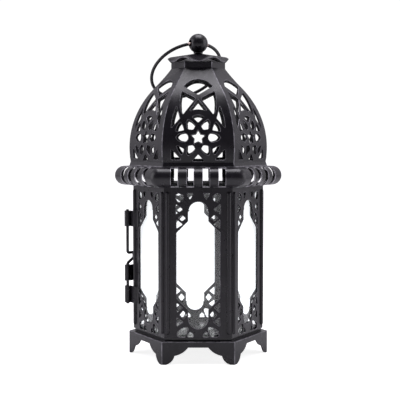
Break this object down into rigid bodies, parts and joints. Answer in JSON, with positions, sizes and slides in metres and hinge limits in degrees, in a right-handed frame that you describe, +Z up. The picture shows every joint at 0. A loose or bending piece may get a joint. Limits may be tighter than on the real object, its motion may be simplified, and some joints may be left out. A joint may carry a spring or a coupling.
{
  "type": "candle lantern",
  "caption": "Hexagonal pierced-metal candle lantern with glass panes, hinged door, slotted gallery, pierced dome, ball finial and wire hanging ring.",
  "frame": {"origin": "centre of the hexagonal stand on the plane its feet rest on", "axes": "+Z up through the finial; the front face looks along -Y; two corners of the hexagon lie on the X axis, and the hinged corner is the one at -X"},
  "size_m": [0.1148, 0.0994, 0.216],
  "materials": {
    "black_paint": "satin black paint",
    "blackened_wire": "satin black wire",
    "clear_glass": "clear",
    "clip_steel": "satin black",
    "fastener_steel": "plated"
  },
  "bodies": {
    "lantern": {"base_stand": "black_paint", "floor_tray": "black_paint", "body_top_plate": "black_paint", "gallery_band": "black_paint", "dome_seat_ring": "black_paint", "dome_cap_plate": "black_paint", "crown_disc": "black_paint", "finial_ball": "black_paint", "hinge_knuckle_upper": "black_paint", "hinge_knuckle_lower": "black_paint", "pane_clips": "clip_steel", "door_catch": "clip_steel", "finial_washer": "fastener_steel", "finial_stem": "fastener_steel", "finial_nut": "fastener_steel", "dome_petal_front": "black_paint", "dome_petal_front_right": "black_paint", "dome_petal_back_right": "black_paint", "dome_petal_back": "black_paint", "dome_petal_back_left": "black_paint", "dome_petal_front_left": "black_paint", "side_panel_front": "black_paint", "glass_pane_front": "clear_glass", "side_panel_front_right": "black_paint", "glass_pane_front_right": "clear_glass", "side_panel_back_right": "black_paint", "glass_pane_back_right": "clear_glass", "side_panel_back": "black_paint", "glass_pane_back": "clear_glass", "side_panel_front_left": "black_paint", "glass_pane_front_left": "clear_glass"},
    "door": {"door_panel": "black_paint", "door_glass": "clear_glass", "door_pane_clips": "clip_steel", "door_knuckle": "black_paint", "hinge_pin": "blackened_wire"},
    "handle": {"handle_ring": "blackened_wire"}
  },
  "joints": [
    {"name": "door_hinge", "type": "hinge", "parent": "lantern", "child": "door", "pos_m": [-0.048, 0, 0.065], "axis": [0, 0, 1], "range_deg": [0, 120]},
    {"name": "handle_swing", "type": "hinge", "parent": "lantern", "child": "handle", "pos_m": [0, 0, 0.2095], "axis": [0.887, 0.4617, 0], "range_deg": [0, 268]}
  ]
}
